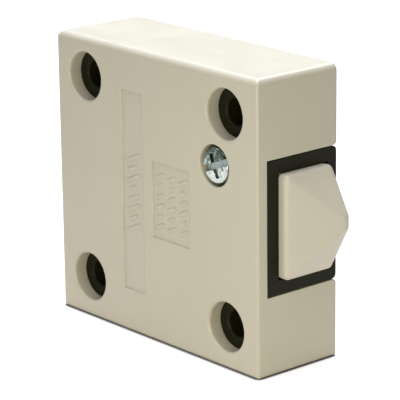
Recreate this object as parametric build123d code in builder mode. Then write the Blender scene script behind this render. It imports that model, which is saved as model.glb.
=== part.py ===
from build123d import *
import os

# Surface-mounted door contact switch for a cupboard or wardrobe lamp, in millimetres.
# A white cover with four screw wells drops over a black base that holds the switch.
# A spring-loaded wedge plunger stands out of the right-hand side; the door pushes it in,
# and the contact bridge behind it then lets go of the two fixed contacts.
#
# Frame: the mounting face is the plane Y = 0, and the front of the switch looks along -Y.
# +X is the way the plunger points and +Z is up. The origin is the centre of the four
# fixing holes, on the mounting face. Sketches on Plane.XZ.offset(height) are drawn in
# X and Z; "height" is how far something stands in front of the mounting face.

# ---- case ----
WIDTH = 51.4
LEFT = -25.4  # the fixing holes sit slightly left of the middle of the case
RIGHT = LEFT + WIDTH
TALL = 50.0
DEPTH = 17.3
WALL = 1.8
FRONT_WALL = 2.05
GAP = 0.15  # between parts that lie side by side or slide past each other

TOP_ROUND = 1.25
EDGE_ROUND = 0.5
INNER_FRONT = DEPTH - FRONT_WALL
INNER_LEFT = LEFT + WALL
INNER_RIGHT = RIGHT - WALL
INNER_Z = TALL / 2 - WALL

# ---- fixing holes: four wells on a square ----
FIX_PITCH = 36.0
FIX_HOLE_R = 2.3
FIX_HOLE_CHAMFER = 0.25
WELL_R = 4.25
WELL_RIM_ROUND = 0.6
PILLAR_R = 4.8
PILLAR_TOP = 14.6
PAD_INNER = 12.5  # the pads behind the wells start this far from the centre lines

# ---- marking fields on the front, as X and Z ranges ----
TALL_LABEL = ((-8.2, -2.7), (-17.5, 17.7))
SQUARE_LABEL = ((-0.3, 9.25), (-6.6, 6.7))
LABEL_DEEP = 0.25
MARK_RISE = 0.15
MARK_WIDE = 0.5
MARK_PITCH = 1.75
MARK_SLANT = 24.0
TALL_MARKS = (3.6, 2.2, 3.6, 3.0, 1.6, 3.6, 2.6, 3.6)
SQUARE_MARKS = (2.2, 1.4, 2.2, 1.8, 1.2, 2.2)
SQUARE_COLUMNS = (1.5, 4.5, 7.5)

# ---- base plate ----
BASE_FLOOR = 2.0
CORNER_ROUND = 0.8

# ---- cover screw and the M3.5 fasteners ----
COVER_SCREW = (15.5, 9.0)
COVER_SCREW_ANGLE = 21.5
RECESS_R = 3.55
RECESS_ROUND = 0.25
COLLAR_R = 4.3
COLLAR_END = 13.8
BOSS_R = 3.2
M3_5_SHANK_R = 1.7
M3_5_NUT_BORE_R = 1.72
M3_5_CLEAR_R = 1.9
COVER_HEAD = (3.05, 2.7)
COVER_SHANK = 13.7
NUT_FLATS = 6.0
NUT_THICK = 2.5
POCKET_FLATS = 6.1
POCKET_DEEP = 3.0

# ---- plunger and its channel ----
PLUNGER_BACK = 2.0
PLUNGER_FRONT = 12.65
PLUNGER_AXIS = 7.575  # height of the springs and of the contacts
HEAD_HALF = 8.85
HEAD_START = 24.4
SHOULDER = 27.45
APEX = 32.25
TIP = 31.65
WEDGE_ROUND = 1.0
STEM_HALF = 5.5
STEM_START = 13.0
TRAVEL = 5.0

CHANNEL_FLOOR = PLUNGER_BACK - GAP
CHANNEL_START = HEAD_START - TRAVEL - GAP
LID_SEAT = PLUNGER_FRONT + GAP
LID_TOP = LID_SEAT + 0.9
FRAME_HALF = 11.35  # the black frame round the plunger, as seen from the side
FRAME_BAR_START = 20.6
FRAME_TOP = INNER_FRONT - GAP

# ---- contact carrier ----
CARRIER_HALF = 3.6
CARRIER_START = 1.0
TONGUE_END = 18.0
TONGUE_HALF = 3.0
TONGUE_PLAY = 0.05
TONGUE_LEAD = 0.4
SOCKET_SPARE = 0.5
LUG = (9.65, 11.3)
LUG_HALF = 7.3
LUG_LOW = 10.4
STOP_X = 11.35
WINDOW = (2.6, 8.85)
WINDOW_HALF = 1.6

# ---- contacts ----
BRIDGE = (6.8, 7.6)
BRIDGE_HALF = 9.2
BRIDGE_RISE = 1.4
CONTACT_TIP = 0.6
CONTACT_TIP_R = 1.2
CONTACT_Z = 7.8
STRIP = 0.8
STRIP_BEND = 0.75
STRIP_SEAT = 5.0
STRIP_Z = (6.1, 9.6)
TAB_START = BRIDGE[1] + 2 * CONTACT_TIP
TAB_TOP = 9.6
TERMINAL = (-4.0, 11.0)
TERMINAL_HALF = 3.5
TERMINALS = (TERMINAL, (TERMINAL[0], -TERMINAL[1]))
WASHER_SEAT = STRIP_SEAT + STRIP
WASHER_HALF = 3.3
WASHER_THICK = 0.7

# ---- switch chamber walls, as X and half-Z ----
CHAMBER = (2.6, STOP_X)
CHAMBER_HALF = 9.75
CHAMBER_WALL = 1.35
SIDE_WALL = 1.5
LEDGE_SPARE = 0.5
STEM_BLOCK = (STOP_X, 17.0)
STEM_WALL = 1.65
TUNNEL_START = -10.0
TUNNEL_HALF = CARRIER_HALF + GAP
SEAT_WALL = 2.5
LID_SCREWS = ((-11.4, 5.6), (-11.4, -5.6), (14.8, -9.3))
LID_EAR_R = 2.4
LID_SCREW_R = 1.1
LID_SCREW_DEEP = 7.5
THREAD_PLAY = 0.02

# ---- springs ----
RETURN_COIL_R = 2.6
RETURN_WIRE = 0.6
RETURN_TURNS = 6
CONTACT_COIL_R = 1.25
CONTACT_WIRE = 0.4
CONTACT_TURNS = 4
PEG_R = 1.8
BASE_PEG = 2.0
CARRIER_PEG = 2.5

# ---- cable entry and clamp, on the left ----
ENTRY_HALF = 4.0
ENTRY_TOP = 7.0
CLAMP_X = -19.5
CLAMP_SCREW_Z = 7.0
CLAMP_PLACES = ((CLAMP_X, CLAMP_SCREW_Z), (CLAMP_X, -CLAMP_SCREW_Z))
CLAMP_SEAT = 6.9
CLAMP_LONG = 19.6
CLAMP_WIDE = 5.0
CLAMP_THICK = 2.0
CLAMP_POST_R = 2.4
CLAMP_SCREW_R = 1.3
CLAMP_HOLE_DEEP = 5.2
CLAMP_RIB = 0.8
CLAMP_RIB_DEEP = 0.4
CLAMP_RIB_PITCH = 2.4

# ---- hooks that hold the left side of the cover ----
HOOK_Z = 10.5
HOOK_WIDE = 3.0
HOOK_TOP = 6.4
HOOK_NOSE = 1.0
HOOK_REACH = 0.7
HOOK_FACE = INNER_LEFT + 0.2
HOOK_PLAY = 0.4

# ---- small screws and washers: head radius and height, then screw length ----
TERMINAL_HEAD = (2.9, 1.9)
TERMINAL_SHANK = 5.7
LID_HEAD = (2.2, 1.35)
CLAMP_HEAD = (2.4, 1.6)
CLAMP_SHANK = 7.0
TERMINAL_SCREW_ANGLE = 30.0
LID_SCREW_ANGLE = 15.0
CLAMP_SCREW_ANGLE = 60.0
WASHER_ROUND = 0.6

# ---- pan heads, as shares of the head's height or radius ----
CROWN = 0.12
RIM_ROUND = 0.15
SLOT_DEEP = 0.45
SLOT_LONG = 2.2
SLOT_WIDE = 0.36
CROSS_LONG = 1.4
CROSS_WIDE = 0.3
POINT = 0.3  # of the shank's radius

# ---- insulating plate on the back ----
PLATE_CENTRE = (-3.0, 0.0)
PLATE_SIZE = (22.0, 36.0)
PLATE_THICK = 0.48
PLATE_RECESS = 0.5
PLATE_PLAY = 0.1
PLATE_PEG_R = 1.0
PLATE_PEG_PITCH = 16.0

os.makedirs("parts", exist_ok=True)


def rect(x_range, z_range, mode=Mode.ADD):
    """Rectangle between two X values and two Z values in a sketch parallel to the back."""
    centre = (sum(x_range) / 2, sum(z_range) / 2)
    with Locations(centre):
        Rectangle(abs(x_range[1] - x_range[0]), abs(z_range[1] - z_range[0]), mode=mode)


def both_sides(z_range):
    """The same Z range above and below the centre line."""
    return z_range, (-z_range[1], -z_range[0])


def finish(builder, name):
    """Name a piece and write it to its own file."""
    builder.part.label = name
    export_step(builder.part, f"parts/{name}.step")


# ---------------------------------------------------------------- cover
def plain_marks(x_centre, lengths):
    """A column of separate raised dashes, all slanted alike, where the moulding is marked."""
    lowest = -MARK_PITCH * (len(lengths) - 1) / 2
    for row, length in enumerate(lengths):
        with Locations((x_centre, lowest + MARK_PITCH * row)):
            Rectangle(length, MARK_WIDE, rotation=MARK_SLANT)


with BuildPart() as cover:
    with BuildSketch(Plane.XZ):
        rect((LEFT, RIGHT), (-TALL / 2, TALL / 2))
    extrude(amount=DEPTH)
    top_edges = cover.faces().sort_by(Axis.Z)[-1].edges()
    fillet(top_edges.sort_by(Axis.Y)[:3], TOP_ROUND)
    bottom_edges = cover.faces().sort_by(Axis.Z)[0].edges()
    front_posts = cover.edges().filter_by(Axis.Z).group_by(Axis.Y)[0]
    fillet(bottom_edges.sort_by(Axis.Y)[:3] + front_posts, EDGE_ROUND)

    with BuildSketch(Plane.XZ):
        rect((INNER_LEFT, INNER_RIGHT), (-INNER_Z, INNER_Z))
    extrude(amount=INNER_FRONT, mode=Mode.SUBTRACT)
    # pads behind the wells and a collar behind the screw recess
    with BuildSketch(Plane.XZ.offset(PILLAR_TOP)):
        for x_range in ((INNER_LEFT, -PAD_INNER), (PAD_INNER, INNER_RIGHT)):
            for z_range in both_sides((PAD_INNER, INNER_Z)):
                rect(x_range, z_range)
    extrude(amount=INNER_FRONT - PILLAR_TOP)
    with BuildSketch(Plane.XZ.offset(COLLAR_END)):
        with Locations(COVER_SCREW):
            Circle(COLLAR_R)
    extrude(amount=INNER_FRONT - COLLAR_END)

    with BuildSketch(Plane.XZ.offset(DEPTH)):
        with GridLocations(FIX_PITCH, FIX_PITCH, 2, 2):
            Circle(WELL_R)
        with Locations(COVER_SCREW):
            Circle(RECESS_R)
    extrude(amount=PILLAR_TOP - DEPTH, mode=Mode.SUBTRACT)
    rims = cover.edges().filter_by(GeomType.CIRCLE).group_by(Axis.Y)[0].sort_by(SortBy.RADIUS)
    fillet(rims[-4:], WELL_RIM_ROUND)
    recess_rim = cover.edges().filter_by(GeomType.CIRCLE).group_by(Axis.Y)[0]
    fillet(recess_rim.sort_by(SortBy.RADIUS)[0], RECESS_ROUND)
    with BuildSketch(Plane.XZ.offset(COLLAR_END)):
        with Locations(COVER_SCREW):
            Circle(M3_5_CLEAR_R)
    extrude(amount=PILLAR_TOP - COLLAR_END, mode=Mode.SUBTRACT)

    # openings in the side walls: the black frame on the right, the cable on the left
    with BuildSketch(Plane.YZ.offset(INNER_RIGHT)):
        rect((-INNER_FRONT, 0), (-FRAME_HALF - GAP, FRAME_HALF + GAP))
    extrude(amount=WALL, mode=Mode.SUBTRACT)
    with BuildSketch(Plane.YZ.offset(INNER_LEFT)):
        rect((-ENTRY_TOP, 0), (-ENTRY_HALF, ENTRY_HALF))
    extrude(amount=-WALL, mode=Mode.SUBTRACT)
    notch_corners = [
        edge
        for edge in cover.edges().filter_by(Axis.X).group_by(Axis.Y)[-1]
        if abs(edge.center().Z) < FRAME_HALF + 1 and edge.length < WALL + GAP
    ]
    fillet(notch_corners, CORNER_ROUND - GAP)
    # pockets for the two hooks of the base
    with BuildSketch(Plane.XZ.offset(HOOK_TOP - HOOK_NOSE - GAP)):
        half = HOOK_WIDE / 2 + HOOK_PLAY
        for z_range in both_sides((HOOK_Z - half, HOOK_Z + half)):
            rect((INNER_LEFT - HOOK_REACH, INNER_LEFT), z_range)
    extrude(amount=HOOK_NOSE + 2 * GAP, mode=Mode.SUBTRACT)

    # shallow marking fields with plain dashes left standing in them
    with BuildSketch(Plane.XZ.offset(DEPTH)):
        rect(*TALL_LABEL)
        rect(*SQUARE_LABEL)
    extrude(amount=-LABEL_DEEP, mode=Mode.SUBTRACT)
    with BuildSketch(Plane.XZ.offset(DEPTH - LABEL_DEEP)):
        plain_marks(sum(TALL_LABEL[0]) / 2, TALL_MARKS)
        for column in SQUARE_COLUMNS:
            plain_marks(column, SQUARE_MARKS)
    extrude(amount=MARK_RISE)
finish(cover, "cover")


# ---------------------------------------------------------------- base
def chamber_outline():
    """Outer outline of the chamber walls and of the lid that closes them."""
    rect((STEM_BLOCK[1], RIGHT), (-FRAME_HALF, FRAME_HALF))
    rect(STEM_BLOCK, (-STEM_HALF - STEM_WALL, STEM_HALF + STEM_WALL))
    chamber_outer = CHAMBER_HALF + CHAMBER_WALL
    rect((CHAMBER[0] - SIDE_WALL, CHAMBER[1] + SIDE_WALL), (-chamber_outer, chamber_outer))
    tunnel_outer = TUNNEL_HALF + SIDE_WALL
    rect((TUNNEL_START - SEAT_WALL, CHAMBER[0]), (-tunnel_outer, tunnel_outer))
    with Locations(*LID_SCREWS):
        Circle(LID_EAR_R)


with BuildPart() as base:
    with BuildSketch(Plane.XZ):
        rect((INNER_LEFT + GAP, INNER_RIGHT - GAP), (-INNER_Z + GAP, INNER_Z - GAP))
        rect((LEFT, 0), (-ENTRY_HALF + GAP, ENTRY_HALF - GAP))
        rect((0, RIGHT), (-FRAME_HALF, FRAME_HALF))
    extrude(amount=BASE_FLOOR)
    with BuildSketch(Plane.XZ.offset(BASE_FLOOR)):
        with GridLocations(FIX_PITCH, FIX_PITCH, 2, 2):
            Circle(PILLAR_R)
    extrude(amount=PILLAR_TOP - BASE_FLOOR)
    with BuildSketch(Plane.XZ.offset(BASE_FLOOR)):
        chamber_outline()
    extrude(amount=LID_SEAT - BASE_FLOOR)
    with BuildSketch(Plane.XZ.offset(BASE_FLOOR)):
        with Locations(COVER_SCREW):
            Circle(BOSS_R)
    extrude(amount=COLLAR_END - BASE_FLOOR)

    # the plunger channel, the contact chamber and the spring tunnel
    with BuildSketch(Plane.XZ.offset(CHANNEL_FLOOR)):
        rect((CHANNEL_START, RIGHT), (-HEAD_HALF - GAP, HEAD_HALF + GAP))
        rect((STOP_X, CHANNEL_START), (-STEM_HALF - GAP, STEM_HALF + GAP))
        rect(CHAMBER, (-CHAMBER_HALF, CHAMBER_HALF))
        rect((TUNNEL_START, CHAMBER[0]), (-TUNNEL_HALF, TUNNEL_HALF))
    extrude(amount=LID_SEAT - CHANNEL_FLOOR, mode=Mode.SUBTRACT)
    with BuildSketch(Plane.YZ.offset(TUNNEL_START)):
        with Locations((-PLUNGER_AXIS, 0)):
            Circle(PEG_R)
    extrude(amount=BASE_PEG)

    # ledges that carry the contact strips, and the slots that let them into the chamber
    strip_low, strip_high = STRIP_Z[0] - GAP, STRIP_Z[1] + GAP
    with BuildSketch(Plane.XZ.offset(CHANNEL_FLOOR)):
        for z_range in both_sides((strip_low, CHAMBER_HALF)):
            rect((CHAMBER[0], TAB_START + STRIP + GAP), z_range)
    extrude(amount=STRIP_SEAT - CHANNEL_FLOOR)
    ledge_end = TERMINAL[0] - TERMINAL_HALF - LEDGE_SPARE
    with BuildSketch(Plane.XZ.offset(BASE_FLOOR)):
        for z_range in both_sides(
            (TUNNEL_HALF + SIDE_WALL, TERMINAL[1] + TERMINAL_HALF + LEDGE_SPARE)
        ):
            rect((ledge_end, CHAMBER[0] - SIDE_WALL), z_range)
    extrude(amount=STRIP_SEAT - BASE_FLOOR)
    with BuildSketch(Plane.XZ.offset(STRIP_SEAT)):
        for z_range in both_sides((strip_low, strip_high)):
            rect((CHAMBER[0] - SIDE_WALL, CHAMBER[0]), z_range)
    extrude(amount=LID_SEAT - STRIP_SEAT, mode=Mode.SUBTRACT)

    # clamp posts and cover hooks on the cable side
    with BuildSketch(Plane.XZ.offset(BASE_FLOOR)):
        with Locations(*CLAMP_PLACES):
            Circle(CLAMP_POST_R)
    extrude(amount=CLAMP_SEAT - BASE_FLOOR)
    hook_z = (HOOK_Z - HOOK_WIDE / 2, HOOK_Z + HOOK_WIDE / 2)
    with BuildSketch(Plane.XZ.offset(BASE_FLOOR)):
        for z_range in both_sides(hook_z):
            rect((HOOK_FACE, HOOK_FACE + HOOK_NOSE), z_range)
    extrude(amount=HOOK_TOP - BASE_FLOOR)
    with BuildSketch(Plane.XZ.offset(HOOK_TOP - HOOK_NOSE)):
        for z_range in both_sides(hook_z):
            rect((HOOK_FACE - HOOK_REACH, HOOK_FACE), z_range)
    extrude(amount=HOOK_NOSE)

    # back: recess for the insulating plate with its two pegs, and three nut pockets
    with BuildSketch(Plane.XZ):
        with Locations(PLATE_CENTRE):
            Rectangle(PLATE_SIZE[0] + 2 * PLATE_PLAY, PLATE_SIZE[1] + 2 * PLATE_PLAY)
            with GridLocations(PLATE_PEG_PITCH, 0, 2, 1):
                Circle(PLATE_PEG_R, mode=Mode.SUBTRACT)
    extrude(amount=PLATE_RECESS, mode=Mode.SUBTRACT)
    nut_places = (COVER_SCREW, *TERMINALS)
    with BuildSketch(Plane.XZ):
        with Locations(*nut_places):
            RegularPolygon(POCKET_FLATS / 2, 6, major_radius=False, rotation=30)
    extrude(amount=POCKET_DEEP, mode=Mode.SUBTRACT)

    # screw holes
    with BuildSketch(Plane.XZ):
        with GridLocations(FIX_PITCH, FIX_PITCH, 2, 2):
            Circle(FIX_HOLE_R)
        with Locations(*nut_places):
            Circle(M3_5_CLEAR_R)
    extrude(amount=DEPTH, mode=Mode.SUBTRACT)
    with BuildSketch(Plane.XZ.offset(LID_SEAT)):
        with Locations(*LID_SCREWS):
            Circle(LID_SCREW_R + THREAD_PLAY)
    extrude(amount=-LID_SCREW_DEEP, mode=Mode.SUBTRACT)
    with BuildSketch(Plane.XZ.offset(CLAMP_SEAT)):
        with Locations(*CLAMP_PLACES):
            Circle(CLAMP_SCREW_R + THREAD_PLAY)
    extrude(amount=-CLAMP_HOLE_DEEP, mode=Mode.SUBTRACT)
    hole_mouths = [
        edge
        for edge in base.edges().filter_by(GeomType.CIRCLE).group_by(Axis.Y)[0]
        if abs(edge.radius - FIX_HOLE_R) < 0.01
    ]
    chamfer(hole_mouths, FIX_HOLE_CHAMFER)
    frame_corners = [
        edge
        for edge in base.edges().filter_by(Axis.X).group_by(Axis.Y)[-1]
        if abs(abs(edge.center().Z) - FRAME_HALF) < 0.01 and edge.center().X > INNER_RIGHT - 1
    ]
    fillet(frame_corners, CORNER_ROUND)
finish(base, "base")

# ---------------------------------------------------------------- chamber lid
with BuildPart() as chamber_lid:
    with BuildSketch(Plane.XZ.offset(LID_SEAT)):
        chamber_outline()
    extrude(amount=LID_TOP - LID_SEAT)
    with BuildSketch(Plane.XZ.offset(LID_SEAT)):
        rect((FRAME_BAR_START, RIGHT), (-FRAME_HALF, FRAME_HALF))
    extrude(amount=FRAME_TOP - LID_SEAT)
    with BuildSketch(Plane.XZ.offset(LID_SEAT)):
        with Locations(COVER_SCREW):
            Circle(BOSS_R + GAP)
        with Locations(*LID_SCREWS):
            Circle(LID_SCREW_R + GAP)
    extrude(amount=LID_TOP - LID_SEAT, mode=Mode.SUBTRACT)
finish(chamber_lid, "chamber_lid")

# ---------------------------------------------------------------- plunger
with BuildPart() as plunger:
    # seen from the front, both slopes run towards one apex and stop short at the blunt tip
    slope = (TIP - SHOULDER) / (APEX - SHOULDER)
    tip_half = HEAD_HALF * (1 - slope)
    tip_front = PLUNGER_BACK + (PLUNGER_FRONT - PLUNGER_BACK) * (1 - slope)
    with BuildSketch(Plane.XZ.offset(PLUNGER_BACK)):
        with BuildLine():
            Polyline(
                (HEAD_START, -HEAD_HALF),
                (SHOULDER, -HEAD_HALF),
                (TIP, -tip_half),
                (TIP, tip_half),
                (SHOULDER, HEAD_HALF),
                (HEAD_START, HEAD_HALF),
                close=True,
            )
        make_face()
    extrude(amount=PLUNGER_FRONT - PLUNGER_BACK)
    # seen from above, the front slope runs to the same apex, at the back
    with BuildSketch(Plane.XY.offset(-HEAD_HALF)):
        with BuildLine():
            Polyline(
                (HEAD_START, -PLUNGER_FRONT),
                (SHOULDER, -PLUNGER_FRONT),
                (TIP, -tip_front),
                (TIP, -PLUNGER_BACK),
                (HEAD_START, -PLUNGER_BACK),
                close=True,
            )
        make_face()
    extrude(amount=2 * HEAD_HALF, mode=Mode.INTERSECT)
    outer_edges = plunger.edges().filter_by(lambda edge: edge.center().X > HEAD_START + 0.1)
    fillet(outer_edges, WEDGE_ROUND)
    with BuildSketch(Plane.YZ.offset(STEM_START)):
        rect((-PLUNGER_FRONT, -PLUNGER_BACK), (-STEM_HALF, STEM_HALF))
    extrude(amount=HEAD_START - STEM_START)
    # socket for the tongue of the contact carrier
    with BuildSketch(Plane.YZ.offset(STEM_START)):
        with Locations((-PLUNGER_AXIS, 0)):
            Rectangle(2 * (TONGUE_HALF + TONGUE_PLAY), 2 * (TONGUE_HALF + TONGUE_PLAY))
    extrude(amount=TONGUE_END + SOCKET_SPARE - STEM_START, mode=Mode.SUBTRACT)
finish(plunger, "plunger")

# ---------------------------------------------------------------- contact carrier
with BuildPart() as contact_carrier:
    with BuildSketch(Plane.XZ.offset(PLUNGER_BACK)):
        rect((CARRIER_START, STEM_START), (-CARRIER_HALF, CARRIER_HALF))
    extrude(amount=PLUNGER_FRONT - PLUNGER_BACK)
    # two lugs run against the end of the chamber and keep the plunger in
    with BuildSketch(Plane.XZ.offset(LUG_LOW)):
        rect(LUG, (-LUG_HALF, LUG_HALF))
    extrude(amount=PLUNGER_FRONT - LUG_LOW)
    # window that the contact bridge floats in
    with BuildSketch(Plane.XY.offset(-CARRIER_HALF)):
        rect(WINDOW, (-PLUNGER_AXIS - WINDOW_HALF, -PLUNGER_AXIS + WINDOW_HALF))
    extrude(amount=2 * CARRIER_HALF, mode=Mode.SUBTRACT)
    with BuildSketch(Plane.YZ.offset(CARRIER_START)):
        with Locations((-PLUNGER_AXIS, 0)):
            Circle(PEG_R)
    extrude(amount=-CARRIER_PEG)
    with BuildSketch(Plane.YZ.offset(STEM_START)):
        with Locations((-PLUNGER_AXIS, 0)):
            Rectangle(2 * TONGUE_HALF, 2 * TONGUE_HALF)
    extrude(amount=TONGUE_END - STEM_START)
    tongue_end = contact_carrier.faces().sort_by(Axis.X)[-1]
    chamfer(tongue_end.edges(), TONGUE_LEAD)
finish(contact_carrier, "contact_carrier")


# ---------------------------------------------------------------- springs
def coil(start_x, end_x, coil_radius, wire, turns):
    """Compression spring along X, between two X values, on the plunger's axis."""
    with BuildPart() as spring:
        first = start_x + wire / 2
        run = end_x - start_x - wire
        with BuildLine():
            path = Helix(run / turns, run, coil_radius, (first, -PLUNGER_AXIS, 0), (1, 0, 0))
        with BuildSketch(Plane(path @ 0, z_dir=path % 0)):
            Circle(wire / 2)
        sweep(is_frenet=True)
    return spring


return_spring = coil(TUNNEL_START, CARRIER_START, RETURN_COIL_R, RETURN_WIRE, RETURN_TURNS)
finish(return_spring, "return_spring")
contact_spring = coil(WINDOW[0], BRIDGE[0], CONTACT_COIL_R, CONTACT_WIRE, CONTACT_TURNS)
finish(contact_spring, "contact_spring")


# ---------------------------------------------------------------- contacts
def contact_tips(start_x):
    """A pair of silver contact tips, one for each pole, as separate discs."""
    with BuildPart() as tips:
        with BuildSketch(Plane.YZ.offset(start_x)):
            with Locations((-PLUNGER_AXIS, CONTACT_Z), (-PLUNGER_AXIS, -CONTACT_Z)):
                Circle(CONTACT_TIP_R)
        extrude(amount=CONTACT_TIP)
    return tips


with BuildPart() as contact_bridge:
    with BuildSketch(Plane.YZ.offset(BRIDGE[0])):
        with Locations((-PLUNGER_AXIS, 0)):
            SlotOverall(2 * BRIDGE_HALF, 2 * BRIDGE_RISE, rotation=90)
    extrude(amount=BRIDGE[1] - BRIDGE[0])
finish(contact_bridge, "contact_bridge")

bridge_contact_tips = contact_tips(BRIDGE[1])
finish(bridge_contact_tips, "bridge_contact_tips")
fixed_contact_tips = contact_tips(BRIDGE[1] + CONTACT_TIP)
finish(fixed_contact_tips, "fixed_contact_tips")


def contact_strip(side):
    """Brass strip from a terminal to its upright contact tab; side is 1 above, -1 below."""
    inner, outer = side * STRIP_Z[0], side * STRIP_Z[1]
    terminal_end = side * (TERMINAL[1] + TERMINAL_HALF)
    with BuildPart() as strip:
        with BuildSketch(Plane.XZ.offset(STRIP_SEAT)):
            rect((TERMINAL[0] - TERMINAL_HALF, TAB_START + STRIP), (inner, outer))
            rect((TERMINAL[0] - TERMINAL_HALF, TERMINAL[0] + TERMINAL_HALF), (inner, terminal_end))
            with Locations((TERMINAL[0], side * TERMINAL[1])):
                Circle(M3_5_CLEAR_R, mode=Mode.SUBTRACT)
        extrude(amount=STRIP)
        with BuildSketch(Plane.XZ.offset(STRIP_SEAT)):
            rect((TAB_START, TAB_START + STRIP), (inner, outer))
        extrude(amount=TAB_TOP - STRIP_SEAT)
        bend = strip.edges().filter_by(Axis.Z).sort_by(Axis.X)[-2:].sort_by(Axis.Y)[-1]
        fillet(bend, STRIP_BEND)
    return strip


finish(contact_strip(1), "fixed_contact_upper")
finish(contact_strip(-1), "fixed_contact_lower")


# ---------------------------------------------------------------- fasteners
def pan_screws(places, seat, head_size, shank_radius, shank, angle):
    """Domed pan-head screws that point at the wall, one solid for each place."""
    head_radius, head = head_size
    crown = CROWN * head
    tip_cut = POINT * shank_radius
    with BuildPart() as screw:
        with BuildSketch(Plane.XY) as profile:
            with BuildLine():
                dome = TangentArc((0, -head), (head_radius, crown - head), tangent=(1, 0))
                Polyline(
                    dome @ 1,
                    (head_radius, 0),
                    (shank_radius, 0),
                    (shank_radius, shank - tip_cut),
                    (shank_radius - tip_cut, shank),
                    (0, shank),
                    dome @ 0,
                )
            make_face()
            rim_corner = profile.vertices().group_by(Axis.X)[-1].sort_by(Axis.Y)[0]
            fillet(rim_corner, RIM_ROUND * head)
        revolve(axis=Axis.Y)
        # combined cross and slot
        with BuildSketch(Plane.XZ.offset(head)):
            with Locations(Location((0, 0, 0), angle)):
                Rectangle(SLOT_LONG * head_radius, SLOT_WIDE * head_radius)
                Rectangle(CROSS_LONG * head_radius, CROSS_WIDE * head_radius)
                Rectangle(CROSS_WIDE * head_radius, CROSS_LONG * head_radius)
        extrude(amount=-SLOT_DEEP * head, mode=Mode.SUBTRACT)
    with BuildPart() as screws:
        with Locations(*[(x, -seat, z) for x, z in places]):
            add(screw.part)
    return screws


def hex_nuts(places, low):
    """M3.5 nuts in their pockets at the back, one solid for each place."""
    with BuildPart() as nuts:
        with BuildSketch(Plane.XZ.offset(low)):
            with Locations(*places):
                RegularPolygon(NUT_FLATS / 2, 6, major_radius=False, rotation=30)
                Circle(M3_5_NUT_BORE_R, mode=Mode.SUBTRACT)
        extrude(amount=NUT_THICK)
    return nuts


cover_screw = pan_screws(
    (COVER_SCREW,), PILLAR_TOP, COVER_HEAD, M3_5_SHANK_R, COVER_SHANK, COVER_SCREW_ANGLE
)
finish(cover_screw, "cover_screw")
finish(hex_nuts((COVER_SCREW,), POCKET_DEEP - NUT_THICK), "cover_nut")

terminal_screws = pan_screws(
    TERMINALS, WASHER_SEAT + WASHER_THICK, TERMINAL_HEAD, M3_5_SHANK_R, TERMINAL_SHANK,
    TERMINAL_SCREW_ANGLE,
)
finish(terminal_screws, "terminal_screws")
finish(hex_nuts(TERMINALS, POCKET_DEEP - NUT_THICK), "terminal_nuts")

with BuildPart() as terminal_washers:
    with BuildSketch(Plane.XZ.offset(WASHER_SEAT)):
        with Locations(*TERMINALS):
            RectangleRounded(2 * WASHER_HALF, 2 * WASHER_HALF, WASHER_ROUND)
            Circle(M3_5_CLEAR_R, mode=Mode.SUBTRACT)
    extrude(amount=WASHER_THICK)
finish(terminal_washers, "terminal_washers")

lid_screws = pan_screws(
    LID_SCREWS, LID_TOP, LID_HEAD, LID_SCREW_R, LID_SCREW_DEEP, LID_SCREW_ANGLE
)
finish(lid_screws, "lid_screws")

with BuildPart() as cable_clamp:
    with BuildSketch(Plane.XZ.offset(CLAMP_SEAT)):
        with Locations((CLAMP_X, 0)):
            SlotOverall(CLAMP_LONG, CLAMP_WIDE, rotation=90)
        with Locations(*CLAMP_PLACES):
            Circle(CLAMP_SCREW_R + GAP, mode=Mode.SUBTRACT)
    extrude(amount=CLAMP_THICK)
    # two ribs bite into the cable
    with BuildSketch(Plane.XZ.offset(CLAMP_SEAT)):
        with Locations((CLAMP_X, 0)):
            with GridLocations(CLAMP_RIB_PITCH, 0, 2, 1):
                Rectangle(CLAMP_RIB, 2 * (ENTRY_HALF - 2 * GAP))
    extrude(amount=-CLAMP_RIB_DEEP)
finish(cable_clamp, "cable_clamp")
cable_clamp_screws = pan_screws(
    CLAMP_PLACES, CLAMP_SEAT + CLAMP_THICK, CLAMP_HEAD, CLAMP_SCREW_R, CLAMP_SHANK,
    CLAMP_SCREW_ANGLE,
)
finish(cable_clamp_screws, "cable_clamp_screws")

# ---------------------------------------------------------------- insulating plate
with BuildPart() as insulating_plate:
    with BuildSketch(Plane.XZ):
        with Locations(PLATE_CENTRE):
            Rectangle(*PLATE_SIZE)
            with GridLocations(PLATE_PEG_PITCH, 0, 2, 1):
                Circle(PLATE_PEG_R + PLATE_PLAY, mode=Mode.SUBTRACT)
    extrude(amount=PLATE_THICK)
finish(insulating_plate, "insulating_plate")
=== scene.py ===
import math

import bmesh
import bpy
from mathutils import Matrix, Vector


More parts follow.
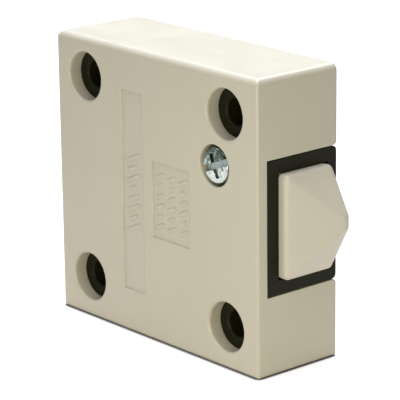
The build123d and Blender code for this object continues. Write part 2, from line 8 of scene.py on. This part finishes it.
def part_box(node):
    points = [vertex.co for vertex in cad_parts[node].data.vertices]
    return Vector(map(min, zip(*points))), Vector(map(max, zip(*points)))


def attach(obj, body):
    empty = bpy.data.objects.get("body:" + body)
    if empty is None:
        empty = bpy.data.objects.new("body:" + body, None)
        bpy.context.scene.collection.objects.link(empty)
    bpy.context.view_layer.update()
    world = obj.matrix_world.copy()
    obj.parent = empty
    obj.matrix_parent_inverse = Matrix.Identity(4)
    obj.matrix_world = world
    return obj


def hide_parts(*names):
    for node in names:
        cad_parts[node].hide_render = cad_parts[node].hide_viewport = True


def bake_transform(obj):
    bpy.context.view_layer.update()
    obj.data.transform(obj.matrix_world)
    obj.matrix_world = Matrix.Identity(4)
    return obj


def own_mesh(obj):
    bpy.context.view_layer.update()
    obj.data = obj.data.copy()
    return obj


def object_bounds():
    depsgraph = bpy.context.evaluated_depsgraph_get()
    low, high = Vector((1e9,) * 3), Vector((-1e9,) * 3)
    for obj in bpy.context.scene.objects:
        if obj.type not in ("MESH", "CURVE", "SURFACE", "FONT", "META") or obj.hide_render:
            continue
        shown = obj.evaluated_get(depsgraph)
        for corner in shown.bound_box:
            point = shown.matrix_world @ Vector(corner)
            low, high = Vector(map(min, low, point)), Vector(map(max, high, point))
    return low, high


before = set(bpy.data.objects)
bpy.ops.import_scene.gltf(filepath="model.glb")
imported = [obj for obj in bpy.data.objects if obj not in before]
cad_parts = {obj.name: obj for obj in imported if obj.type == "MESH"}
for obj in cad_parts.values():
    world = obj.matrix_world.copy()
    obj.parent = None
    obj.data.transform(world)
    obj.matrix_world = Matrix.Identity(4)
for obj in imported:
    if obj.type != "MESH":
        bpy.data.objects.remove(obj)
cad_low, cad_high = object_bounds()
scene = bpy.context.scene
scene.view_settings.view_transform = "Standard"
scene.view_settings.look = "None"

MM = 0.001

# ---------------------------------------------------------------- camera
# The camera looks at a point in the middle of the case, from the front and the right.
AZIMUTH = math.radians(49.35)
ELEVATION = math.radians(16.52)
ROLL = math.radians(-0.69)
DISTANCE = 0.3959
TARGET = Vector((0.3 * MM, -8 * MM, 0))
PAN_RIGHT = 0.58 * MM
PAN_UP = -1.83 * MM
LENS = 209.9
SENSOR = 36.0


def make_camera():
    """A long lens at the photograph's viewing angle."""
    back = Vector((
        math.sin(AZIMUTH) * math.cos(ELEVATION),
        -math.cos(AZIMUTH) * math.cos(ELEVATION),
        math.sin(ELEVATION),
    ))
    level = Vector((math.cos(AZIMUTH), math.sin(AZIMUTH), 0))
    above = back.cross(level)
    right = level * math.cos(ROLL) + above * math.sin(ROLL)
    up = above * math.cos(ROLL) - level * math.sin(ROLL)
    data = bpy.data.cameras.new("camera")
    data.lens = LENS
    data.sensor_width = SENSOR
    data.clip_start = 0.02
    data.clip_end = 20
    camera = bpy.data.objects.new("camera", data)
    turn = Matrix((right, up, back)).transposed().to_4x4()
    place = TARGET + right * PAN_RIGHT + up * PAN_UP + back * DISTANCE
    camera.matrix_world = Matrix.Translation(place) @ turn
    scene.collection.objects.link(camera)
    scene.camera = camera


make_camera()


# ---------------------------------------------------------------- node helpers
class Nodes:
    """A material's node tree with a few short ways to add to it."""

    def __init__(self, tree):
        self.tree = tree

    def add(self, kind, inputs=None, **settings):
        """Add a node; inputs are values or sockets to link, by name or number."""
        node = self.tree.nodes.new(kind)
        for name, value in settings.items():
            setattr(node, name, value)
        for name, value in (inputs or {}).items():
            socket = node.inputs[name]
            if isinstance(value, bpy.types.NodeSocket):
                self.tree.links.new(value, socket)
            else:
                socket.default_value = value
        return node

    def noise(self, where, scale, detail=4.0, roughness=0.55, distortion=0.0):
        """Noise that is even in the object's own space."""
        node = self.add(
            "ShaderNodeTexNoise",
            {"Vector": where, "Scale": scale, "Detail": detail, "Roughness": roughness,
             "Distortion": distortion},
        )
        return node.outputs["Fac"]

    def span(self, value, low, high, to_low, to_high):
        """Map a range to another, held at its ends."""
        node = self.add(
            "ShaderNodeMapRange",
            {"Value": value, "From Min": low, "From Max": high, "To Min": to_low, "To Max": to_high},
        )
        return node.outputs["Result"]

    def math(self, operation, first, second=0.0):
        node = self.add("ShaderNodeMath", {0: first, 1: second}, operation=operation)
        return node.outputs[0]

    def mix(self, amount, first, second):
        """Mix two colours."""
        node = self.add("ShaderNodeMix", data_type="RGBA")
        for number, value in ((0, amount), (6, first), (7, second)):
            socket = node.inputs[number]
            if isinstance(value, bpy.types.NodeSocket):
                self.tree.links.new(value, socket)
            elif isinstance(value, (int, float)):
                socket.default_value = value
            else:
                socket.default_value = (*value, 1.0)
        return node.outputs[2]

    def bump(self, height, distance, normal=None):
        inputs = {"Height": height, "Distance": distance, "Strength": 1.0}
        if normal is not None:
            inputs["Normal"] = normal
        return self.add("ShaderNodeBump", inputs).outputs["Normal"]

    def link(self, socket, target):
        self.tree.links.new(socket, target)


def new_material(name):
    """An empty node material: its helper, its shader and the object's own coordinates."""
    material = bpy.data.materials.new(name)
    material.use_nodes = True
    tree = material.node_tree
    tree.nodes.clear()
    nodes = Nodes(tree)
    shader = nodes.add("ShaderNodeBsdfPrincipled")
    output = nodes.add("ShaderNodeOutputMaterial")
    nodes.link(shader.outputs[0], output.inputs["Surface"])
    where = nodes.add("ShaderNodeTexCoord").outputs["Object"]
    return material, nodes, shader, where


# ---------------------------------------------------------------- materials
# Noise scales are in cycles per metre. A patch is where a noise passes from MID_LOW to MID_HIGH.
MID_LOW, MID_HIGH = 0.35, 0.65
BROAD_LOW, BROAD_HIGH = 0.3, 0.7
EDGE_FLAT, EDGE_SHARP = 0.99, 0.80  # how far the rounded normal still agrees with the face
BEVEL_SAMPLES = 6

# moulded plastic
DRIFT_SCALE = 45
DRIFT_DARK, DRIFT_LIGHT = 0.975, 1.015
GRAIN_SCALE = 900
GRAIN_SHARE = 0.6
RIPPLE_SCALE = 260
SPECK_SCALE = 2600
SPECK_START, SPECK_END = 0.66, 0.74
SPECK_SHARE = 0.10
SPECK_DARK = 0.72
# lighter edges in patches: partly wear, partly a painted highlight where rounded edges catch the
# light
WEAR_AND_HIGHLIGHT_SCALE = 300
WEAR_AND_HIGHLIGHT_LOW, WEAR_AND_HIGHLIGHT_HIGH = 0.35, 0.6
WEAR_AND_HIGHLIGHT_LEAST = 0.3
WEAR_AND_HIGHLIGHT_SHARE = 0.5
PLASTIC_GLOSS_SCALE = 160
PLASTIC_GLOSS = (-0.05, 0.07)  # change of roughness from patch to patch

# insulating fibre
FIBRE_DARK, FIBRE_LIGHT = (0.10, 0.065, 0.035), (0.20, 0.14, 0.08)
FIBRE_ROUGH = (0.65, 0.85)
FIBRE_RISE = 0.03 * MM

# plated metal
MOTTLE_SCALE = 700
# lighter metal edges: partly wear, partly a painted highlight
METAL_EDGE = 0.12 * MM
METAL_EDGE_WEAR_AND_HIGHLIGHT = (0.85, 0.87, 0.86)
METAL_EDGE_SHARE = 0.4
METAL_GLOSS_SCALE = 500
METAL_GLOSS = (-0.06, 0.10)
METAL_GRAIN = 0.004 * MM
METAL_GRAIN_SCALE = 2200
# dark green-grey on the screw head: zinc patina in patches, plus a painted dark reflection that
# leans them onto the upper half
TARNISH_AND_SHADE = (0.07, 0.125, 0.08)
TARNISH_SCALE = 1500
UPPER_SHADE_BELOW, UPPER_SHADE_ABOVE = -1.6 * MM, 1.2 * MM  # from the middle of the head
UPPER_SHADE_LEAN = 0.14
TARNISH_AND_SHADE_START, TARNISH_AND_SHADE_END = 0.44, 0.60
TARNISH_AND_SHADE_SHARE = 0.9
# painted shade in the screw's slot and cross: darker and duller the deeper behind the front of the
# head
SLOT_PAINTED_SHADE = (0.27, 0.34, 0.33)
SLOT_START, SLOT_END = 0.45 * MM, 0.9 * MM  # behind the front of the head
SLOT_SHADE_SHARE = 0.85
SLOT_METALLIC = 0.45
RING_SCALE = 900.0
RING_GRAIN_SCALE = 1800


def edge_mask(nodes, radius):
    """0 on flat faces, rising to 1 on edges, and the rounded normal that shows them."""
    bevel = nodes.add("ShaderNodeBevel", {"Radius": radius}, samples=BEVEL_SAMPLES)
    rounded = bevel.outputs["Normal"]
    plain = nodes.add("ShaderNodeNewGeometry").outputs["True Normal"]
    dot = nodes.add("ShaderNodeVectorMath", {0: rounded, 1: plain}, operation="DOT_PRODUCT")
    return nodes.span(dot.outputs["Value"], EDGE_FLAT, EDGE_SHARP, 0.0, 1.0), rounded


def uneven_gloss(nodes, where, scale, rough, change):
    """Roughness that drifts a little on both sides of its value."""
    smooth, dull = rough + change[0], rough + change[1]
    return nodes.span(nodes.noise(where, scale, 5), BROAD_LOW, BROAD_HIGH, smooth, dull)


def shade(colour, factor):
    return tuple(channel * factor for channel in colour)


def moulded(name, colour, rough, grain, edge_radius, wear_and_highlight, specular=0.5):
    """Moulded plastic: slight colour drift, fine grain, uneven gloss, and lighter edges that are
    partly wear, partly a painted highlight.
    """
    material, nodes, shader, where = new_material(name)
    broad = nodes.noise(where, DRIFT_SCALE, 3)
    fine = nodes.noise(where, GRAIN_SCALE, 5)
    edges, rounded = edge_mask(nodes, edge_radius)
    drift = nodes.span(broad, MID_LOW, MID_HIGH, 0.0, 1.0)
    tone = nodes.mix(drift, shade(colour, DRIFT_DARK), shade(colour, DRIFT_LIGHT))
    speck = nodes.noise(where, SPECK_SCALE, 2)
    speck = nodes.span(speck, SPECK_START, SPECK_END, 0.0, SPECK_SHARE)
    tone = nodes.mix(speck, tone, shade(colour, SPECK_DARK))
    # edges lightened in patches: wear and a painted highlight
    patchy = nodes.span(nodes.noise(where, WEAR_AND_HIGHLIGHT_SCALE, 4), WEAR_AND_HIGHLIGHT_LOW, WEAR_AND_HIGHLIGHT_HIGH, WEAR_AND_HIGHLIGHT_LEAST, 1.0)
    worn_and_lit = nodes.math("MULTIPLY", edges, patchy)
    tone = nodes.mix(nodes.math("MULTIPLY", worn_and_lit, WEAR_AND_HIGHLIGHT_SHARE), tone, wear_and_highlight)
    nodes.link(tone, shader.inputs["Base Color"])
    gloss = uneven_gloss(nodes, where, PLASTIC_GLOSS_SCALE, rough, PLASTIC_GLOSS)
    nodes.link(gloss, shader.inputs["Roughness"])
    ripple = nodes.noise(where, RIPPLE_SCALE, 2)
    height = nodes.math("ADD", nodes.math("MULTIPLY", fine, GRAIN_SHARE), ripple)
    nodes.link(nodes.bump(height, grain, rounded), shader.inputs["Normal"])
    shader.inputs["Specular IOR Level"].default_value = specular
    return material


def plated(name, colour, tint, rough, centre=None, front=0.0, grain=METAL_GRAIN):
    """Plated or rolled metal. A centre adds turning marks, patina patches with a painted dark
    reflection over the top of the head, and painted shade in the slot.
    """
    material, nodes, shader, where = new_material(name)
    mottle = nodes.noise(where, MOTTLE_SCALE, 4)
    tone = nodes.mix(nodes.span(mottle, MID_LOW, MID_HIGH, 0.0, 1.0), colour, tint)
    edges, rounded = edge_mask(nodes, METAL_EDGE)
    # edges lightened: wear and a painted highlight
    tone = nodes.mix(nodes.math("MULTIPLY", edges, METAL_EDGE_SHARE), tone, METAL_EDGE_WEAR_AND_HIGHLIGHT)
    if centre is None:
        shader.inputs["Metallic"].default_value = 1.0
        height = nodes.noise(where, METAL_GRAIN_SCALE, 4)
    else:
        place = nodes.add("ShaderNodeSeparateXYZ", {0: where})
        # painted dark reflection: the patina patches lean towards the upper half of the head
        low, high = centre.z + UPPER_SHADE_BELOW, centre.z + UPPER_SHADE_ABOVE
        upper_shade = nodes.span(place.outputs["Z"], low, high, -UPPER_SHADE_LEAN, UPPER_SHADE_LEAN)
        patches = nodes.math("ADD", nodes.noise(where, TARNISH_SCALE, 3), upper_shade)
        tarnish_and_shade = nodes.span(patches, TARNISH_AND_SHADE_START, TARNISH_AND_SHADE_END, 0.0, TARNISH_AND_SHADE_SHARE)
        tone = nodes.mix(tarnish_and_shade, tone, TARNISH_AND_SHADE)
        # painted shade: the slot darkens and loses its metal sheen with depth
        near, far = front + SLOT_START, front + SLOT_END
        slot_shade = nodes.span(place.outputs["Y"], near, far, 0.0, SLOT_SHADE_SHARE)
        tone = nodes.mix(slot_shade, tone, SLOT_PAINTED_SHADE)
        nodes.link(nodes.span(slot_shade, 0.0, 1.0, 1.0, SLOT_METALLIC), shader.inputs["Metallic"])
        shift = tuple(-c for c in centre)
        shifted = nodes.add("ShaderNodeMapping", {"Vector": where, "Location": shift})
        rings = nodes.add(
            "ShaderNodeTexWave",
            {"Vector": shifted.outputs[0], "Scale": RING_SCALE, "Distortion": 0.6, "Detail": 2.0},
            wave_type="RINGS", rings_direction="Y",
        )
        grit = nodes.noise(where, RING_GRAIN_SCALE, 3)
        height = nodes.math("ADD", rings.outputs["Fac"], grit)
    nodes.link(tone, shader.inputs["Base Color"])
    gloss = uneven_gloss(nodes, where, METAL_GLOSS_SCALE, rough, METAL_GLOSS)
    nodes.link(gloss, shader.inputs["Roughness"])
    nodes.link(nodes.bump(height, grain, rounded), shader.inputs["Normal"])
    return material


def fibre_board():
    """Pressed insulating fibre: brown, matt, with a faint random weave."""
    material, nodes, shader, where = new_material("fibre_board")
    strands = nodes.noise(where, GRAIN_SCALE, 6, 0.7, 2.0)
    weave = nodes.span(strands, MID_LOW, MID_HIGH, 0.0, 1.0)
    nodes.link(nodes.mix(weave, FIBRE_DARK, FIBRE_LIGHT), shader.inputs["Base Color"])
    gloss = nodes.span(strands, BROAD_LOW, BROAD_HIGH, *FIBRE_ROUGH)
    nodes.link(gloss, shader.inputs["Roughness"])
    nodes.link(nodes.bump(strands, FIBRE_RISE), shader.inputs["Normal"])
    return material


def middle(node):
    low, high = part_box(node)
    return (low + high) / 2


COVER_WHITE = (0.405, 0.368, 0.272)
PLUNGER_WHITE = (0.428, 0.386, 0.298)
BLACK = (0.0092, 0.0086, 0.0022)
GREY = (0.10, 0.10, 0.09)
COARSE_GRAIN, FINE_GRAIN = 0.012 * MM, 0.010 * MM

# name, colour, roughness, height of the grain, radius of the lighter edges and their colour (wear
# and painted highlight)
cover_plastic = moulded(
    "cover_plastic", COVER_WHITE, 0.36, COARSE_GRAIN, 0.34 * MM, (0.66, 0.615, 0.485)
)
plunger_plastic = moulded(
    "plunger_plastic", PLUNGER_WHITE, 0.36, FINE_GRAIN, 0.8 * MM, (0.50, 0.455, 0.35)
)
black_plastic = moulded(
    "black_plastic", BLACK, 0.50, COARSE_GRAIN, 0.12 * MM, (0.02, 0.019, 0.01), specular=0.12
)
grey_plastic = moulded("grey_plastic", GREY, 0.45, FINE_GRAIN, 0.12 * MM, (0.2, 0.2, 0.18))
# name, two colours that it mottles between, roughness
screw_zinc = plated(
    "screw_zinc", (0.48, 0.54, 0.52), (0.66, 0.67, 0.62), 0.20,
    centre=middle("cover_screw"), front=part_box("cover_screw")[0].y, grain=0.006 * MM,
)
zinc = plated("zinc", (0.42, 0.46, 0.45), (0.56, 0.57, 0.52), 0.28)
brass = plated("brass", (0.62, 0.42, 0.14), (0.72, 0.52, 0.20), 0.30)
silver = plated("silver", (0.80, 0.79, 0.76), (0.66, 0.64, 0.60), 0.22)
wire = plated("spring_wire", (0.34, 0.34, 0.34), (0.46, 0.46, 0.45), 0.25)

NODE_MATERIALS = {
    "cover": cover_plastic,
    "plunger": plunger_plastic,
    "base": black_plastic,
    "chamber_lid": black_plastic,
    "cable_clamp": black_plastic,
    "contact_carrier": grey_plastic,
    "cover_screw": screw_zinc,
    "cover_nut": zinc,
    "lid_screws": zinc,
    "terminal_screws": zinc,
    "terminal_washers": zinc,
    "cable_clamp_screws": zinc,
    "terminal_nuts": brass,
    "contact_bridge": brass,
    "fixed_contact_upper": brass,
    "fixed_contact_lower": brass,
    "bridge_contact_tips": silver,
    "fixed_contact_tips": silver,
    "insulating_plate": fibre_board(),
    "return_spring": wire,
    "contact_spring": wire,
}
for node, material in NODE_MATERIALS.items():
    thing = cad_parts[node]
    thing.data.materials.clear()
    thing.data.materials.append(material)


# ---------------------------------------------------------------- springs
COIL_STEPS, WIRE_SIDES = 32, 12
CLOSED_TURNS = 1
CLOSED_PITCH = 2.02  # wire radii from one turn to the next where they lie together
RETURN_WIRE_R, RETURN_TURNS = 0.3 * MM, 7
CONTACT_WIRE_R, CONTACT_TURNS = 0.2 * MM, 5


def coil_mesh(name, node, wire_radius, turns):
    """Round-wire compression spring along X that fills a node's box, with closed ends."""
    low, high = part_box(node)
    centre = (low + high) / 2
    radius = (high.z - low.z) / 2 - wire_radius
    start, end = low.x + wire_radius, high.x - wire_radius
    total = turns * COIL_STEPS
    closed = CLOSED_TURNS * COIL_STEPS
    pitch_closed = CLOSED_PITCH * wire_radius / COIL_STEPS
    pitch_open = (end - start - 2 * closed * pitch_closed) / (total - 2 * closed)
    along = start
    middle_line = []
    for step in range(total + 1):
        angle = 2 * math.pi * step / COIL_STEPS
        middle_line.append(Vector((along, radius * math.cos(angle), radius * math.sin(angle))))
        along += pitch_closed if step < closed or step >= total - closed else pitch_open
    mesh = bpy.data.meshes.new(name)
    shape = bmesh.new()
    rings = []
    for step, point in enumerate(middle_line):
        after = middle_line[min(step + 1, total)]
        before = middle_line[max(step - 1, 0)]
        forward = (after - before).normalized()
        outward = Vector((0, point.y, point.z)).normalized()
        outward = (outward - forward * outward.dot(forward)).normalized()
        sideways = forward.cross(outward)
        ring = []
        for side in range(WIRE_SIDES):
            turn = 2 * math.pi * side / WIRE_SIDES
            offset = outward * math.cos(turn) + sideways * math.sin(turn)
            place = point + offset * wire_radius
            ring.append(shape.verts.new(place + Vector((0, centre.y, centre.z))))
        rings.append(ring)
    for first, second in zip(rings, rings[1:]):
        for side in range(WIRE_SIDES):
            other = (side + 1) % WIRE_SIDES
            shape.faces.new((first[side], first[other], second[other], second[side]))
    shape.faces.new(list(reversed(rings[0])))
    shape.faces.new(rings[-1])
    bmesh.ops.recalc_face_normals(shape, faces=shape.faces)
    shape.to_mesh(mesh)
    shape.free()
    mesh.shade_smooth()
    piece = bpy.data.objects.new(name, mesh)
    scene.collection.objects.link(piece)
    mesh.materials.append(wire)
    return piece


def add_springs():
    """Round-wire coils in place of both springs; the return coil hangs from the housing's empty, the
    contact coil stays where it is.
    """
    coil = coil_mesh("return_coil", "return_spring", RETURN_WIRE_R, RETURN_TURNS)
    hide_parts("return_spring")
    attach(coil, "housing")
    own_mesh(coil)
    coil = coil_mesh("contact_coil", "contact_spring", CONTACT_WIRE_R, CONTACT_TURNS)
    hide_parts("contact_spring")
    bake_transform(coil)


add_springs()


# ---------------------------------------------------------------- floor and light
FLOOR_HALF = 3.0
FLOOR_TONE = 0.20
FLOOR_CLOUD = 1.02  # how much lighter its lighter patches are
FLOOR_CLOUD_SCALE = 6
FLOOR_ROUGH = 0.9
FLOOR_GLOW = 0.88
FLOOR_GLOW_FAR = 0.30
FLOOR_TINT = (1.0, 0.963, 0.926)
GLOW_CENTRE = (-0.0885, 0.0757)
GLOW_INNER, GLOW_OUTER = 0.15, 0.30
SKY_STRENGTH = 3.40
SKY_TINT = (0.83, 0.84, 1.0)
HORIZON_STRENGTH = 0.32
HORIZON_EDGE, HORIZON_TOP = 0.02, 0.12
# painted contact shadow: how far the floor's glow darkens near the case, and over what occlusion
CONTACT = 0.9 * MM
CONTACT_SAMPLES = 16
CONTACT_SHADOW_DARK, CONTACT_SHADOW_CLEAR = 0.55, 0.92


def make_floor():
    """A plain white floor under the case that glows, most in a pool near the case, bright enough by
    itself to hide its shadows, with a painted contact shadow where the case stands.
    """
    material, nodes, shader, where = new_material("floor")
    cloud = nodes.noise(where, FLOOR_CLOUD_SCALE, 3)
    cloud = nodes.span(cloud, BROAD_LOW, BROAD_HIGH, 0.0, 1.0)
    tone = nodes.mix(cloud, (FLOOR_TONE,) * 3, (FLOOR_TONE * FLOOR_CLOUD,) * 3)
    nodes.link(tone, shader.inputs["Base Color"])
    shader.inputs["Roughness"].default_value = FLOOR_ROUGH
    shader.inputs["Specular IOR Level"].default_value = 0.0
    shader.inputs["Emission Color"].default_value = (*FLOOR_TINT, 1)
    centre = (*GLOW_CENTRE, cad_low.z)
    away = nodes.add("ShaderNodeVectorMath", {0: where, 1: centre}, operation="DISTANCE")
    glow = nodes.span(away.outputs["Value"], GLOW_INNER, GLOW_OUTER, FLOOR_GLOW, FLOOR_GLOW_FAR)
    # painted contact shadow: the glow gives way to a thin dark line where the case meets the floor
    near = nodes.add("ShaderNodeAmbientOcclusion", {"Distance": CONTACT}, samples=CONTACT_SAMPLES)
    clear = nodes.span(near.outputs["AO"], CONTACT_SHADOW_DARK, CONTACT_SHADOW_CLEAR, 0.0, 1.0)
    glow = nodes.math("MULTIPLY", glow, clear)
    nodes.link(glow, shader.inputs["Emission Strength"])
    mesh = bpy.data.meshes.new("floor")
    shape = bmesh.new()
    corners = []
    for x, y in ((-1, -1), (1, -1), (1, 1), (-1, 1)):
        corners.append(shape.verts.new((x * FLOOR_HALF, y * FLOOR_HALF, cad_low.z)))
    shape.faces.new(corners)
    shape.to_mesh(mesh)
    shape.free()
    floor = bpy.data.objects.new("floor", mesh)
    scene.collection.objects.link(floor)
    mesh.materials.append(material)


def make_world():
    """Soft sky light from above and from the left, with a faint band at the horizon."""
    world = bpy.data.worlds.new("studio")
    world.use_nodes = True
    scene.world = world
    nodes = Nodes(world.node_tree)
    world.node_tree.nodes.clear()
    where = nodes.add("ShaderNodeTexCoord").outputs["Generated"]
    parts = nodes.add("ShaderNodeSeparateXYZ", {0: where})
    upward = nodes.span(parts.outputs["Z"], 0.0, 1.0, 0.0, 1.0)
    leftward = nodes.span(parts.outputs["X"], -1.0, 0.0, SKY_STRENGTH, 0.0)
    strength = nodes.math("MULTIPLY", upward, leftward)
    rise = nodes.math("ABSOLUTE", parts.outputs["Z"])
    horizon = nodes.span(rise, HORIZON_EDGE, HORIZON_TOP, HORIZON_STRENGTH, 0.0)
    strength = nodes.math("ADD", strength, horizon)
    background = nodes.add("ShaderNodeBackground", {"Color": (*SKY_TINT, 1), "Strength": strength})
    output = nodes.add("ShaderNodeOutputWorld")
    nodes.link(background.outputs[0], output.inputs["Surface"])


# name, place, side, power, colour, and whether it leaves the floor unlit
LIGHTS = (
    ("overhead", (0.001, 0, 1.2), 0.4, 8.0, (0.80, 0.85, 1.0), False),
    ("overhead_front", (0.25, -0.4, 1.1), 0.8, 8.0, (0.89, 0.93, 1.0), False),
    ("overhead_back", (-0.35, 0.4, 1.0), 0.8, 21.5, (0.85, 0.91, 1.0), False),
    ("near_fill", (0.120, -0.145, 0.0), 0.07, 0.205, (1.0, 0.99, 0.845), True),
    ("right_fill", (1.0, -0.1, 0.3), 0.6, 0.78, (1.0, 0.987, 0.84), False),
)


def make_lights():
    """Square soft lights that face the case."""
    lit_pieces = bpy.data.collections.new("lit_pieces")
    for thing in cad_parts.values():
        lit_pieces.objects.link(thing)
    for name, place, side, power, colour, spares_floor in LIGHTS:
        data = bpy.data.lights.new(name, "AREA")
        data.color = colour
        data.shape = "SQUARE"
        data.size = side
        data.energy = power
        lamp = bpy.data.objects.new(name, data)
        lamp.location = place
        lamp.rotation_euler = (-Vector(place)).to_track_quat("-Z", "Y").to_euler()
        lamp.visible_camera = False
        if spares_floor:
            lamp.light_linking.receiver_collection = lit_pieces
        scene.collection.objects.link(lamp)


make_floor()
make_world()
make_lights()
